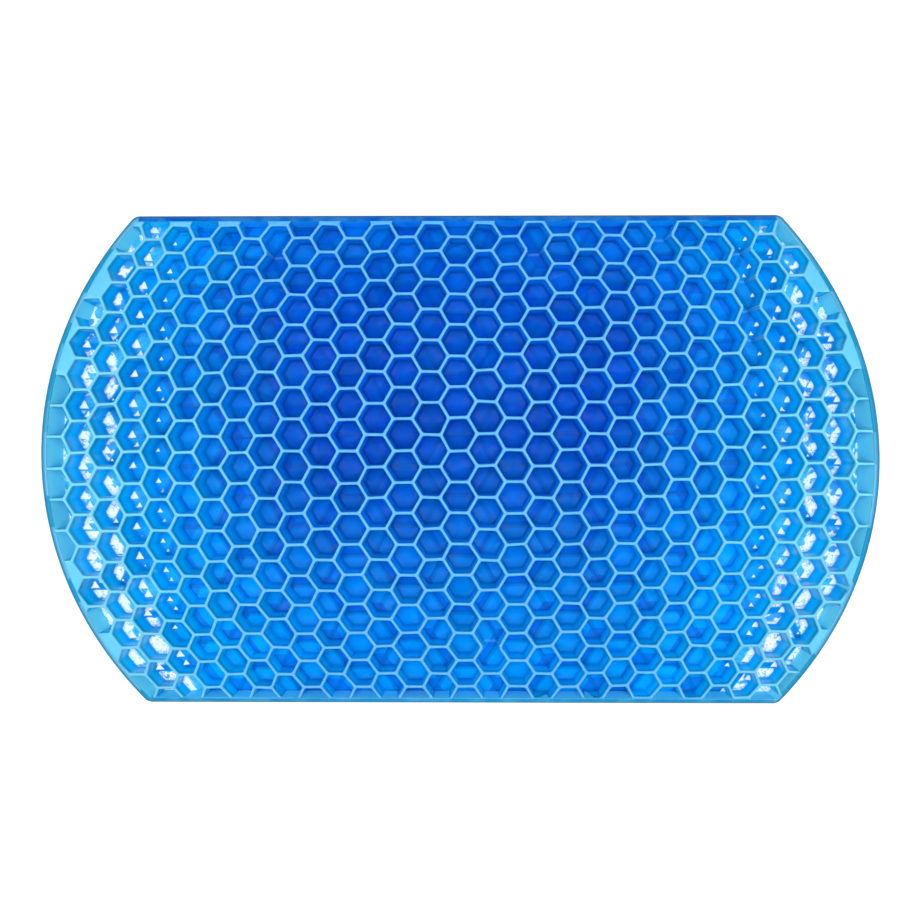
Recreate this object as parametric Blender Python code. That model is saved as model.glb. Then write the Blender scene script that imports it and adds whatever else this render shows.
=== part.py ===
"""Gel seat cushion: two honeycomb layers, back to back, inside one edge wall.

Metres, +Z up. X runs along the long side, +Y points to the back edge, and the
origin is on the resting surface, under the middle of the cushion.

The upper layer has small hexagonal cells that open upwards. The lower layer has
cells of twice the pitch that open downwards. Each layer keeps a thin skin, and
the two skins lie back to back as the membrane in the middle of the cushion. The
underside is flat. The top is crowned: highest along the middle line, and lower
towards the two straight edges.
"""

import math

import bmesh
import bpy
from mathutils import Matrix, Vector

# Outline, seen from above: two straight edges, and an arc at each end.
OVERALL_WIDTH = 0.422
OVERALL_DEPTH = 0.264
STRAIGHT_EDGE = 0.343
ARC_STEPS = 22

# Heights above the resting surface, along the middle line and at the edges.
CROWN_HEIGHT = 0.048
EDGE_HEIGHT = 0.022
MEMBRANE_CROWN = 0.032
MEMBRANE_EDGE = 0.0115

# Upper layer.
UPPER_PITCH = 0.016
UPPER_WALL = 0.0016
UPPER_SKIN = 0.0012

# Lower layer.
LOWER_PITCH = 0.032
LOWER_WALL = 0.0026
LOWER_SKIN = 0.0012

# Edge wall, and the moulding draft that makes every cell wall thicker at its root.
EDGE_WALL = 0.0028
DRAFT = 0.0002

# Space between neighbouring pieces.
GAP = 0.0003

# A cell is cut while its middle is less than this share of its pitch past the edge.
CELL_REACH = 0.28

# The skins are curved in strips of this depth.
STRIP = 0.0165

# How far a cutter passes the open face that it cuts.
CUT_OVER = 0.002

# Points closer than this are one point, and faces that bend less are one face.
SAME_POINT = 1e-6
FLAT_ANGLE = math.radians(0.05)

# Surface finish of the translucent gel: colour, roughness.
UPPER_GEL = ((0.012, 0.180, 0.780, 1.0), 0.22)
LOWER_GEL = ((0.006, 0.110, 0.620, 1.0), 0.28)
EDGE_GEL = ((0.020, 0.260, 0.860, 1.0), 0.18)

NAME = "seat_cushion"
HALF_WIDTH = OVERALL_WIDTH / 2
HALF_DEPTH = OVERALL_DEPTH / 2
ARC_RISE = HALF_WIDTH - STRAIGHT_EDGE / 2
ARC_RADIUS = (HALF_DEPTH ** 2 + ARC_RISE ** 2) / (2 * ARC_RISE)
ARC_CENTRE = HALF_WIDTH - ARC_RADIUS
LAYER_INSET = EDGE_WALL + GAP


def clear_scene():
    """Start from an empty file."""
    for item in list(bpy.data.objects):
        bpy.data.objects.remove(item, do_unlink=True)


def new_collection(name):
    """A collection linked to the scene."""
    collection = bpy.data.collections.new(name)
    bpy.context.scene.collection.children.link(collection)
    return collection


def gel_material(name, finish):
    """A plain gel material from its colour and roughness."""
    colour, roughness = finish
    material = bpy.data.materials.new(name)
    material.use_nodes = True
    material.diffuse_color = colour
    shader = material.node_tree.nodes["Principled BSDF"]
    shader.inputs["Base Color"].default_value = colour
    shader.inputs["Roughness"].default_value = roughness
    shader.inputs["Metallic"].default_value = 0.0
    return material


def crown_fall(y):
    """0 on the middle line, 1 at the straight edges."""
    return (y / HALF_DEPTH) ** 2


def top_height(y):
    """Height of the crowned top."""
    return CROWN_HEIGHT - (CROWN_HEIGHT - EDGE_HEIGHT) * crown_fall(y)


def membrane_height(y):
    """Height of the plane between the two skins."""
    return MEMBRANE_CROWN - (MEMBRANE_CROWN - MEMBRANE_EDGE) * crown_fall(y)


def corner_angle(inset):
    """Angle of an end arc's corner, for the outline moved in by inset."""
    return math.asin((HALF_DEPTH - inset) / (ARC_RADIUS - inset))


def end_arc(inset, end, first, last):
    """Points along an end arc, between two angles, for end +1 (right) or -1 (left)."""
    points = []
    for step in range(ARC_STEPS + 1):
        angle = first + (last - first) * step / ARC_STEPS
        radius = ARC_RADIUS - inset
        x = ARC_CENTRE + radius * math.cos(angle)
        points.append((end * x, radius * math.sin(angle)))
    return points


def outline(inset):
    """The cushion's outline, moved in by inset, anticlockwise."""
    corner = corner_angle(inset)
    right = end_arc(inset, 1, -corner, corner)
    left = end_arc(inset, -1, corner, -corner)
    return right + left


def inside_outline(x, y, inset):
    """Whether a point lies inside the outline moved in by inset."""
    reach = math.hypot(abs(x) - ARC_CENTRE, y)
    return abs(y) < HALF_DEPTH - inset and reach < ARC_RADIUS - inset


def flat_plate(name, points, low, high, collection):
    """A plate with the given outline, from height low to height high."""
    curve = bpy.data.curves.new(name + "_outline", "CURVE")
    curve.dimensions = "2D"
    curve.fill_mode = "BOTH"
    curve.extrude = (high - low) / 2
    spline = curve.splines.new("POLY")
    spline.points.add(len(points) - 1)
    for point, (x, y) in zip(spline.points, points):
        point.co = (x, y, 0.0, 1.0)
    spline.use_cyclic_u = True
    drawn = bpy.data.objects.new(name + "_drawn", curve)
    drawn.location.z = (high + low) / 2
    collection.objects.link(drawn)
    bpy.context.view_layer.update()
    mesh = evaluated_mesh(drawn)
    mesh.transform(drawn.matrix_world)
    bpy.data.objects.remove(drawn, do_unlink=True)
    return new_piece(name, mesh, collection)


def evaluated_mesh(item):
    """A plain mesh of an object with its modifiers, welded and without needless edges."""
    depsgraph = bpy.context.evaluated_depsgraph_get()
    mesh = bpy.data.meshes.new_from_object(item.evaluated_get(depsgraph))
    shape = bmesh.new()
    shape.from_mesh(mesh)
    bmesh.ops.remove_doubles(shape, verts=shape.verts, dist=SAME_POINT)
    bmesh.ops.dissolve_limit(
        shape, angle_limit=FLAT_ANGLE, verts=shape.verts, edges=shape.edges
    )
    bmesh.ops.recalc_face_normals(shape, faces=shape.faces)
    shape.to_mesh(mesh)
    shape.free()
    return mesh


def new_piece(name, mesh, collection):
    """An object for a mesh."""
    mesh.name = name
    piece = bpy.data.objects.new(name, mesh)
    collection.objects.link(piece)
    return piece


def cell_centres(pitch):
    """Middles of all cells of a honeycomb with one cell at the origin.

    The cells have two walls along X, so the columns run along Y.
    """
    column_step = pitch * math.sqrt(3) / 2
    columns = math.ceil(HALF_WIDTH / column_step)
    rows = math.ceil(HALF_DEPTH / pitch) + 1
    centres = []
    for column in range(-columns, columns + 1):
        for row in range(-rows, rows + 1):
            x = column * column_step
            y = (row + (column % 2) / 2) * pitch
            if inside_outline(x, y, LAYER_INSET - CELL_REACH * pitch):
                centres.append((x, y))
    return centres


def cell_cutters(name, pitch, wall, closed_end, open_end, collection):
    """One hexagonal prism for each cell, narrower at its closed end, as one object."""
    radius = (pitch - wall) / math.sqrt(3)
    narrow = radius - DRAFT
    bottom, top = (narrow, radius) if closed_end < open_end else (radius, narrow)
    middle = (closed_end + open_end) / 2
    shape = bmesh.new()
    for x, y in cell_centres(pitch):
        place = Matrix.Translation((x, y, middle)) @ Matrix.Rotation(math.pi / 2, 4, "Z")
        bmesh.ops.create_cone(
            shape,
            cap_ends=True,
            segments=6,
            radius1=bottom,
            radius2=top,
            depth=abs(open_end - closed_end),
            matrix=place,
        )
    mesh = bpy.data.meshes.new(name)
    shape.to_mesh(mesh)
    shape.free()
    cutter = new_piece(name, mesh, collection)
    cutter.hide_render = True
    cutter.display_type = "WIRE"
    return cutter


def cut_cells(plate, cutter):
    """Cut the cells out of a plate and keep the result as its mesh."""
    cut = plate.modifiers.new("cells", "BOOLEAN")
    cut.operation = "DIFFERENCE"
    cut.solver = "EXACT"
    cut.object = cutter
    bpy.context.view_layer.update()
    mesh = evaluated_mesh(plate)
    plate.modifiers.clear()
    plate.data = mesh
    plate.data.name = plate.name


def split_skin(shape, height):
    """Split the skin's whole face at one height into strips, so that it can curve."""
    strips = math.ceil(OVERALL_DEPTH / STRIP)
    for number in range(1, strips):
        y = -HALF_DEPTH + OVERALL_DEPTH * number / strips
        faces = [
            face for face in shape.faces
            if all(abs(vert.co.z - height) < SAME_POINT for vert in face.verts)
        ]
        edges = {edge for face in faces for edge in face.edges}
        verts = {vert for face in faces for vert in face.verts}
        bmesh.ops.bisect_plane(
            shape,
            geom=list(verts) + list(edges) + faces,
            dist=SAME_POINT,
            plane_co=Vector((0.0, y, height)),
            plane_no=Vector((0.0, 1.0, 0.0)),
        )


def crown_piece(piece, skin_face, fall_at):
    """Curve a flat layer: its skin face is split, then every corner drops by fall_at."""
    shape = bmesh.new()
    shape.from_mesh(piece.data)
    split_skin(shape, skin_face)
    for vert in shape.verts:
        vert.co.z -= fall_at(vert.co.y, vert.co.z)
    bmesh.ops.triangulate(shape, faces=shape.faces)
    shape.to_mesh(piece.data)
    shape.free()


def make_upper_honeycomb(parts, cutters, material):
    """Small cells that open upwards, on their half of the membrane."""
    skin_face = MEMBRANE_CROWN + GAP / 2
    floor = skin_face + UPPER_SKIN
    plate = flat_plate(
        "upper_honeycomb", outline(LAYER_INSET), skin_face, CROWN_HEIGHT, parts
    )
    cutter = cell_cutters(
        "upper_cells", UPPER_PITCH, UPPER_WALL, floor, CROWN_HEIGHT + CUT_OVER, cutters
    )
    cut_cells(plate, cutter)
    wall_middle = (floor + CROWN_HEIGHT) / 2

    def fall_at(y, z):
        if z > wall_middle:
            return CROWN_HEIGHT - top_height(y)
        return MEMBRANE_CROWN - membrane_height(y)

    crown_piece(plate, skin_face, fall_at)
    plate.data.materials.append(material)


def make_lower_honeycomb(parts, cutters, material):
    """Large cells that open downwards, under their half of the membrane."""
    skin_face = MEMBRANE_CROWN - GAP / 2
    roof = skin_face - LOWER_SKIN
    plate = flat_plate("lower_honeycomb", outline(LAYER_INSET), 0.0, skin_face, parts)
    cutter = cell_cutters(
        "lower_cells", LOWER_PITCH, LOWER_WALL, roof, -CUT_OVER, cutters
    )
    cut_cells(plate, cutter)

    def fall_at(y, z):
        if z < roof / 2:
            return 0.0
        return MEMBRANE_CROWN - membrane_height(y)

    crown_piece(plate, skin_face, fall_at)
    plate.data.materials.append(material)


def crown_top(wall, flat_top):
    """Lower the flat top of an edge wall to the crowned top."""
    for vert in wall.data.vertices:
        if vert.co.z > flat_top / 2:
            vert.co.z = top_height(vert.co.y)


def make_end_wall(name, end, parts, material):
    """The edge wall along one end arc, full height."""
    outer = end_arc(0.0, end, -corner_angle(0.0), corner_angle(0.0))
    inner_corner = corner_angle(EDGE_WALL)
    inner = end_arc(EDGE_WALL, end, inner_corner, -inner_corner)
    wall = flat_plate(name, outer + inner, 0.0, CROWN_HEIGHT, parts)
    crown_top(wall, CROWN_HEIGHT)
    wall.data.materials.append(material)


def make_straight_wall(name, side, parts, material):
    """The edge wall along one straight edge, mitred to the end walls, full height."""
    inner_radius = ARC_RADIUS - EDGE_WALL
    inner_angle = corner_angle(EDGE_WALL)
    inner_half = ARC_CENTRE + inner_radius * math.cos(inner_angle)
    outer_half = STRAIGHT_EDGE / 2
    mitre_angle = math.atan2(EDGE_WALL, outer_half - inner_half)
    shift = GAP / math.sin(mitre_angle)
    outer_y = side * HALF_DEPTH
    inner_y = side * (HALF_DEPTH - EDGE_WALL)
    points = [
        (outer_half - shift, outer_y),
        (-outer_half + shift, outer_y),
        (-inner_half + shift, inner_y),
        (inner_half - shift, inner_y),
    ]
    wall = flat_plate(name, points, 0.0, EDGE_HEIGHT, parts)
    crown_top(wall, EDGE_HEIGHT)
    wall.data.materials.append(material)


def main():
    clear_scene()
    parts = new_collection(NAME)
    cutters = new_collection(NAME + "_cutters")
    make_upper_honeycomb(parts, cutters, gel_material("upper_gel", UPPER_GEL))
    make_lower_honeycomb(parts, cutters, gel_material("lower_gel", LOWER_GEL))
    edge_gel = gel_material("edge_gel", EDGE_GEL)
    make_end_wall("right_end_wall", 1, parts, edge_gel)
    make_end_wall("left_end_wall", -1, parts, edge_gel)
    make_straight_wall("back_edge_wall", 1, parts, edge_gel)
    make_straight_wall("front_edge_wall", -1, parts, edge_gel)


main()
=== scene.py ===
import math

import bmesh
import bpy
from mathutils import Matrix, Vector, noise


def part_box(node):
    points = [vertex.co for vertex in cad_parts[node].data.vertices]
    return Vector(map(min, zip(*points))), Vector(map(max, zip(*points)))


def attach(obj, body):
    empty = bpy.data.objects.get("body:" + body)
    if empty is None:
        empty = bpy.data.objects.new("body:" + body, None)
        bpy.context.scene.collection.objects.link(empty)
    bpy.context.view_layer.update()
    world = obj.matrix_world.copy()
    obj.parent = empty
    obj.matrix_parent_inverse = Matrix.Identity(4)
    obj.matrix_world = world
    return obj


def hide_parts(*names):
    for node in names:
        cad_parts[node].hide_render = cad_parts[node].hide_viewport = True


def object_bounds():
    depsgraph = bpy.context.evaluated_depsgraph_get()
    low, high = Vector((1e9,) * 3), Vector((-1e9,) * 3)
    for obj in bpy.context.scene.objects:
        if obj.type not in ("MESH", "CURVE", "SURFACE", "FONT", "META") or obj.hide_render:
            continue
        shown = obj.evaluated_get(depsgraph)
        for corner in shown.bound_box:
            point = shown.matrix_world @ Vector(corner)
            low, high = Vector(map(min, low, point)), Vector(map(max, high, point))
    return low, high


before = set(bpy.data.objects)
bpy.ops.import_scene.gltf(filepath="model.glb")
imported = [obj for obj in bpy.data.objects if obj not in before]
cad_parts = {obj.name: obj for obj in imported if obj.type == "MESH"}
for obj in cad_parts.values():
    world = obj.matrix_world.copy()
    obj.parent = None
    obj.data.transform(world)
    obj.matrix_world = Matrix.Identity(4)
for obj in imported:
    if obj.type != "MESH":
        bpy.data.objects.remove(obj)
cad_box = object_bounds()

# ---------------------------------------------------------------- the frame's sizes

LOW, HIGH = (Vector(corner) for corner in cad_box)
HALF_WIDTH = (HIGH.x - LOW.x) / 2
HALF_DEPTH = (HIGH.y - LOW.y) / 2
CROWN_HEIGHT = HIGH.z
EDGE_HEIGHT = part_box("back_edge_wall")[1].z
STRAIGHT_EDGE = 0.343
ARC_RISE = HALF_WIDTH - STRAIGHT_EDGE / 2
ARC_RADIUS = (HALF_DEPTH ** 2 + ARC_RISE ** 2) / (2 * ARC_RISE)
ARC_CENTRE = HALF_WIDTH - ARC_RADIUS

MM = 0.001
GAP = 0.3 * MM
MEMBRANE_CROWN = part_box("lower_honeycomb")[1].z + GAP / 2
MEMBRANE_EDGE = 11.5 * MM
SKIN = 1.2 * MM

# ---------------------------------------------------------------- the gel's own sizes

UPPER_PITCH = 16 * MM
LOWER_PITCH = 2 * UPPER_PITCH
CELL_REACH = 0.28
BLANK_REACH = 1.3
# Painted light on the solid tops of blank places, as a share of a wall top's.
BLANK_PALE = 0.65

# How far the honeycombs stop inside the outline: along the straight edges and the end arcs.
STRAIGHT_RIM = 4.0 * MM
ARC_RIM = 3.1 * MM
RIM_GAP = 0.05 * MM
CORNER_ROUND = 5.0 * MM
ARC_STEPS = 22
STRIP = 16.5 * MM

# A ring of a cell: inset from the middle of the wall, round of its corners, share of the way
# from the rim plane to the floor plane, height over that plane, and the painted light there that
# makes the wall tops pale.
UPPER_RINGS = (
    (0.00, 0.0, 0.0, 0.00, 1.0),
    (0.45, 0.6, 0.0, -0.07, 1.0),
    (0.74, 1.0, 0.0, -0.42, 0.55),
    (0.84, 1.3, 0.0, -1.60, 0.0),
    (0.98, 1.5, 1.0, 0.90, 0.0),
    (1.70, 1.9, 1.0, 0.10, 0.0),
)
LOWER_RINGS = (
    (0.00, 0.0, 0.0, 0.00, 1.0),
    (0.70, 0.9, 0.0, 0.08, 1.0),
    (1.18, 1.7, 0.0, 0.55, 0.6),
    (1.32, 2.2, 0.0, 2.40, 0.0),
    (1.55, 2.6, 1.0, -1.60, 0.0),
    (2.90, 3.4, 1.0, -0.15, 0.0),
)
CORNER_SHARE = 0.14

# Walls that stop low, by column and by place along it, in pitches of the upper honeycomb.
LOW_WALLS = (
    (-7, 7.0), (3, 7.0), (8, 7.5), (11, 7.0), (11, 6.0), (11, 5.0), (11, 4.0), (1, -6.0),
)
LOW_WALL_HEIGHT = 0.7 * MM
LOW_WALL_LENGTH = 0.42
LOW_WALL_REACH = 1.25 * MM
LOW_WALL_FOOT = 1.5 * MM
# Painted light left on a low wall's top, as a share.
LOW_WALL_PALE = 0.25

# How much wider the large cells are at the resting surface than where they meet the membrane.
BELOW_SPREAD = 1.075

# Slow waves that bend the walls out of line: size of a wave and how far it moves them. Each
# wave has its own slice of the noise, and the seed makes the noise the same in every run.
WAVES = ((34 * MM, 0.8 * MM), (12 * MM, 0.45 * MM))
WAVE_SLICES = 1000
WAVE_SEED = 7

# How the honeycombs lie in the outline: a small turn, and a shift towards the front edge.
LATTICE_TURN = 0.0074
LATTICE_SHIFT = -0.9 * MM

# How the gel has settled, at the very ends or edges: slanted to one side, bowed, spread in the
# middle, drawn in at the straight edges and at the ends, and a little narrower at the back.
SLANT = -1.4 * MM
BOW = 1.7 * MM
MIDDLE_SPREAD = 3.0 * MM
EDGE_DRAW = 5.3 * MM
END_DRAW = 6.7 * MM
TAPER = 1.4 * MM

SAME_POINT = 1e-5
SHARP_ANGLE = 50
SQRT3 = math.sqrt(3)


def crown_fall(y):
    """0 on the middle line, 1 at the straight edges."""
    return (y / HALF_DEPTH) ** 2


def top_height(y):
    """Height of the crowned top."""
    return CROWN_HEIGHT - (CROWN_HEIGHT - EDGE_HEIGHT) * crown_fall(y)


def membrane_height(y):
    """Height of the plane between the two skins."""
    return MEMBRANE_CROWN - (MEMBRANE_CROWN - MEMBRANE_EDGE) * crown_fall(y)


def settle(x, y):
    """How far along X the honeycomb has settled away from its straight form."""
    u = x / HALF_WIDTH
    v = y / HALF_DEPTH
    return BOW * v * v + u * (MIDDLE_SPREAD - EDGE_DRAW * v * v - END_DRAW * u * u - TAPER * v)


def slant(shape):
    """Lean the whole outline to one side, as the soft gel lies."""
    for vert in shape.verts:
        vert.co.x += SLANT * vert.co.y / HALF_DEPTH


# ---------------------------------------------------------------- node helpers

def feed(tree, value, socket):
    """Feed a socket from another socket, or give it a plain value."""
    if isinstance(value, bpy.types.NodeSocket):
        tree.links.new(value, socket)
    elif value is not None:
        socket.default_value = value


def calc(tree, operation, *values):
    """A Math node; returns its result."""
    step = tree.nodes.new("ShaderNodeMath")
    step.operation = operation
    for value, socket in zip(values, step.inputs):
        feed(tree, value, socket)
    return step.outputs[0]


def vector_calc(tree, operation, *values):
    """A Vector Math node; returns the output that its operation uses."""
    step = tree.nodes.new("ShaderNodeVectorMath")
    step.operation = operation
    for value, socket in zip(values, step.inputs):
        feed(tree, value, socket)
    return step.outputs["Value" if operation in ("LENGTH", "DOT_PRODUCT") else "Vector"]


def parts_of(tree, vector):
    """The x, y and z of a vector."""
    split = tree.nodes.new("ShaderNodeSeparateXYZ")
    feed(tree, vector, split.inputs[0])
    return split.outputs


def vector_of(tree, x=0.0, y=0.0, z=0.0):
    """A vector from three values."""
    joined = tree.nodes.new("ShaderNodeCombineXYZ")
    for value, socket in zip((x, y, z), joined.inputs):
        feed(tree, value, socket)
    return joined.outputs[0]


def ramp(tree, value, start, end, low=0.0, high=1.0):
    """A smooth step from low to high as value goes from start to end."""
    step = tree.nodes.new("ShaderNodeMapRange")
    step.interpolation_type = "SMOOTHSTEP"
    step.clamp = True
    for given, name in zip(
        (value, start, end, low, high), ("Value", "From Min", "From Max", "To Min", "To Max")
    ):
        feed(tree, given, step.inputs[name])
    return step.outputs["Result"]


def blend(tree, share, first, second, mode="MIX"):
    """A Mix node for colours; returns the result."""
    mixer = tree.nodes.new("ShaderNodeMix")
    mixer.data_type = "RGBA"
    mixer.blend_type = mode
    colours = [socket for socket in mixer.inputs if socket.type == "RGBA"]
    feed(tree, share, mixer.inputs[0])
    feed(tree, first, colours[0])
    feed(tree, second, colours[1])
    return next(socket for socket in mixer.outputs if socket.type == "RGBA")


def choose(tree, share, first, second):
    """A Mix node for vectors; returns the result."""
    mixer = tree.nodes.new("ShaderNodeMix")
    mixer.data_type = "VECTOR"
    sockets = {socket.identifier: socket for socket in mixer.inputs}
    feed(tree, share, sockets["Factor_Float"])
    feed(tree, first, sockets["A_Vector"])
    feed(tree, second, sockets["B_Vector"])
    return next(socket for socket in mixer.outputs if socket.identifier == "Result_Vector")


def mottle(tree, position, size, detail=2.0):
    """Noise with waves of the given size, about 0 to 1."""
    texture = tree.nodes.new("ShaderNodeTexNoise")
    feed(tree, position, texture.inputs["Vector"])
    texture.inputs["Scale"].default_value = 1.0 / size
    texture.inputs["Detail"].default_value = detail
    return texture.outputs["Fac"]


def new_socket(tree, name, direction, kind, value=None):
    """A named input or output of a node group."""
    socket = tree.interface.new_socket(name, in_out=direction, socket_type="NodeSocket" + kind)
    if value is not None:
        socket.default_value = value
    return socket


def place_group(tree, group, **values):
    """A node group in a material, fed by name; returns its outputs."""
    placed = tree.nodes.new("ShaderNodeGroup")
    placed.node_tree = group
    for name, value in values.items():
        feed(tree, value, placed.inputs[name])
    return placed.outputs


def light_of(red, green, blue):
    """A display colour, each part 0 to 255, as linear light."""
    linear = [((part / 255 + 0.055) / 1.055) ** 2.4 if part > 10 else part / 3294.6
              for part in (red, green, blue)]
    return (*linear, 1.0)


# ---------------------------------------------------------------- shader groups

def honeycomb_pattern():
    """Distance from the nearest wall of a honeycomb, and a chance value for each cell."""
    group = bpy.data.node_groups.new("honeycomb_pattern", "ShaderNodeTree")
    new_socket(group, "Position", "INPUT", "Vector")
    new_socket(group, "Pitch", "INPUT", "Float", UPPER_PITCH)
    new_socket(group, "Wall Distance", "OUTPUT", "Float")
    new_socket(group, "Cell Tone", "OUTPUT", "Float")
    new_socket(group, "Offset", "OUTPUT", "Vector")
    given = group.nodes.new("NodeGroupInput").outputs
    result = group.nodes.new("NodeGroupOutput").inputs
    flat = vector_calc(group, "MULTIPLY", given["Position"], (1.0, 1.0, 0.0))
    half = vector_of(
        group, calc(group, "MULTIPLY", given["Pitch"], SQRT3 / 2),
        calc(group, "MULTIPLY", given["Pitch"], 0.5),
    )
    minus_half = vector_calc(group, "SCALE", half)
    minus_half.node.inputs["Scale"].default_value = -1.0
    first = vector_calc(group, "WRAP", flat, half, minus_half)
    shifted = vector_calc(group, "SUBTRACT", flat, half)
    second = vector_calc(group, "WRAP", shifted, half, minus_half)
    nearer = calc(
        group, "LESS_THAN",
        vector_calc(group, "LENGTH", first), vector_calc(group, "LENGTH", second),
    )
    offset = choose(group, nearer, second, first)
    size = vector_calc(group, "ABSOLUTE", offset)
    slanted = vector_calc(group, "DOT_PRODUCT", size, (SQRT3 / 2, 0.5, 0.0))
    reach = calc(group, "MAXIMUM", parts_of(group, size)["Y"], slanted)
    inner = calc(group, "MULTIPLY", given["Pitch"], 0.5)
    feed(group, calc(group, "SUBTRACT", inner, reach), result["Wall Distance"])
    middle = vector_calc(group, "DIVIDE", vector_calc(group, "SUBTRACT", flat, offset), half)
    whole = vector_calc(group, "FLOOR", vector_calc(group, "ADD", middle, (0.5, 0.5, 0.5)))
    chance = group.nodes.new("ShaderNodeTexWhiteNoise")
    feed(group, whole, chance.inputs["Vector"])
    feed(group, chance.outputs["Value"], result["Cell Tone"])
    feed(group, offset, result["Offset"])
    return group


# Where the painted light on the gel starts and where it is strongest, and by how much.
LIGHT_END = (0.30 * HALF_WIDTH, 0.98 * HALF_WIDTH)
LIGHT_FRONT = (0.25 * HALF_DEPTH, -0.98 * HALF_DEPTH)
LIGHT_BACK = (0.55 * HALF_DEPTH, 1.05 * HALF_DEPTH)
FRONT_GAIN = 0.75
BACK_GAIN = 0.30
CLOUD_GAIN = 0.30
CLOUD_SIZE = 55 * MM

# The unevenness of the moulded faces: size of a wave and its height.
GRAIN_SIZE = 1.3 * MM
GRAIN_HEIGHT = 0.00003
SWELL_SIZE = 7 * MM
SWELL_HEIGHT = 0.00007


def painted_gel_light():
    """Painted light on the gel: lighter towards the two ends and the front edge."""
    group = bpy.data.node_groups.new("painted_gel_light", "ShaderNodeTree")
    new_socket(group, "Position", "INPUT", "Vector")
    new_socket(group, "Lightness", "OUTPUT", "Float")
    new_socket(group, "End", "OUTPUT", "Float")
    given = group.nodes.new("NodeGroupInput").outputs
    result = group.nodes.new("NodeGroupOutput").inputs
    place = parts_of(group, given["Position"])
    along = calc(group, "ABSOLUTE", place["X"])
    end = ramp(group, along, *LIGHT_END)
    front = ramp(group, place["Y"], *LIGHT_FRONT)
    back = ramp(group, place["Y"], *LIGHT_BACK)
    cloud = calc(group, "SUBTRACT", mottle(group, given["Position"], CLOUD_SIZE, 1.0), 0.5)
    total = calc(group, "ADD", end, calc(group, "MULTIPLY", front, FRONT_GAIN))
    total = calc(group, "ADD", total, calc(group, "MULTIPLY", back, BACK_GAIN))
    total = calc(group, "ADD", total, calc(group, "MULTIPLY", cloud, CLOUD_GAIN))
    clamped = calc(group, "MINIMUM", calc(group, "MAXIMUM", total, 0.0), 1.0)
    feed(group, clamped, result["Lightness"])
    feed(group, end, result["End"])
    return group


def gel_surface():
    """Fine unevenness of a moulded gel face, as a height in metres."""
    group = bpy.data.node_groups.new("gel_surface", "ShaderNodeTree")
    new_socket(group, "Position", "INPUT", "Vector")
    new_socket(group, "Grain", "INPUT", "Float", GRAIN_HEIGHT)
    new_socket(group, "Wave", "INPUT", "Float", SWELL_HEIGHT)
    new_socket(group, "Height", "OUTPUT", "Float")
    given = group.nodes.new("NodeGroupInput").outputs
    result = group.nodes.new("NodeGroupOutput").inputs
    grain = mottle(group, given["Position"], GRAIN_SIZE, 3.0)
    wave = mottle(group, given["Position"], SWELL_SIZE, 1.0)
    height = calc(
        group, "ADD",
        calc(group, "MULTIPLY", grain, given["Grain"]),
        calc(group, "MULTIPLY", wave, given["Wave"]),
    )
    feed(group, height, result["Height"])
    return group


# ---------------------------------------------------------------- materials

# The gel's deep blue, and a lit blue that the painted light mixes in.
DEEP_BLUE = light_of(0, 73, 172)
# Darker blue painted where a large cell's wall face lies under the membrane: painted shade.
SHADED_FACE_BLUE = light_of(0, 60, 178)
LIT_BLUE = light_of(0, 142, 214)
# Wall faces painted lighter than the floors: painted light through the thin walls.
LIT_FACE_DEEP = light_of(0, 130, 255)
LIT_FACE_BRIGHT = light_of(0, 198, 255)
SHADOW_TEAL = light_of(0, 70, 120)
# Wall tops painted pale: painted light, and at the ends a painted reflection in lavender.
LIT_PALE_CYAN = light_of(86, 156, 208)
REFLECTED_PALE_LAVENDER = light_of(98, 178, 208)
# Pale blues for the top of the end arcs: painted light, in random blocks.
RIM_BLUE = light_of(88, 156, 196)
RIM_DEEP = light_of(20, 126, 172)
# The edge wall's top: blue at the back, lighter teal at the front, as painted light.
BACK_BLUE = light_of(0, 79, 162)
FRONT_TEAL = light_of(10, 120, 170)
# Outer face of the edge wall, lighter cyan at the ends: painted light.
SIDE_BLUE = light_of(0, 112, 204)
SIDE_CYAN = light_of(36, 158, 212)
# A fainter painted reflection on the floors near the ends.
SHEEN_CYAN = light_of(60, 170, 200)
# Light cyan for the edge wall: painted light through the gel near the ends and the front.
LIT_END_CYAN = light_of(112, 226, 240)
# Dark line along the rounded shoulder: painted shade.
SHADED_OUTLINE_BLUE = light_of(4, 74, 122)
SHADED_OUTLINE_END = light_of(34, 108, 140)
# White of the painted reflection on the floors at the ends.
REFLECTION_WHITE = light_of(218, 228, 226)

# How far from the middle the floors take a faint painted reflection and then a full white painted
# reflection, with small painted highlights before it. The distance counts Y for less, and for least
# at the back.
REFLECTION_START = 174 * MM
REFLECTION_BLEND = 3 * MM
SHEEN_START = 162 * MM
SHEEN_STRENGTH = 0.8
FRONT_PULL = 0.75
BACK_PULL = 0.5
PULL_CHANGE = 20 * MM

# The painted reflection's broken look: fine speckled lines, and patches that are fuller at the
# front.
SPECKLE_SIZE = 2.2 * MM
SPECKLE_WIDTH = 0.045
SPECKLE_SHARE = 0.15
PATCH_SIZE = 5 * MM
PATCH_FRONT = 0.08
PATCH_BACK = -0.06
PATCH_EDGE = (0.44, 0.54)
PATCH_SHARE = 0.05

# The triangles of painted highlight: how far out from a cell's middle, and how large, for two in a
# cell.
CORNER_HIGHLIGHT_START = 155 * MM
CORNER_HIGHLIGHT_BLEND = 2 * MM
CORNER_TIP = 6.6 * MM
TIP_SHIFT = (0.6 * MM, 0.4 * MM)
LOWER_TIP = (0.55, 0.7)
TRIANGLE_SIZE = (0.7 * MM, 1.0 * MM)
TRIANGLE_GROWTH = 0.7 * MM
GROWTH_START = SHEEN_START + 4 * MM
SECOND_SMALLER = (0.9 * MM, 0.2 * MM)
TRIANGLE_BLUR = 0.25 * MM

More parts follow.
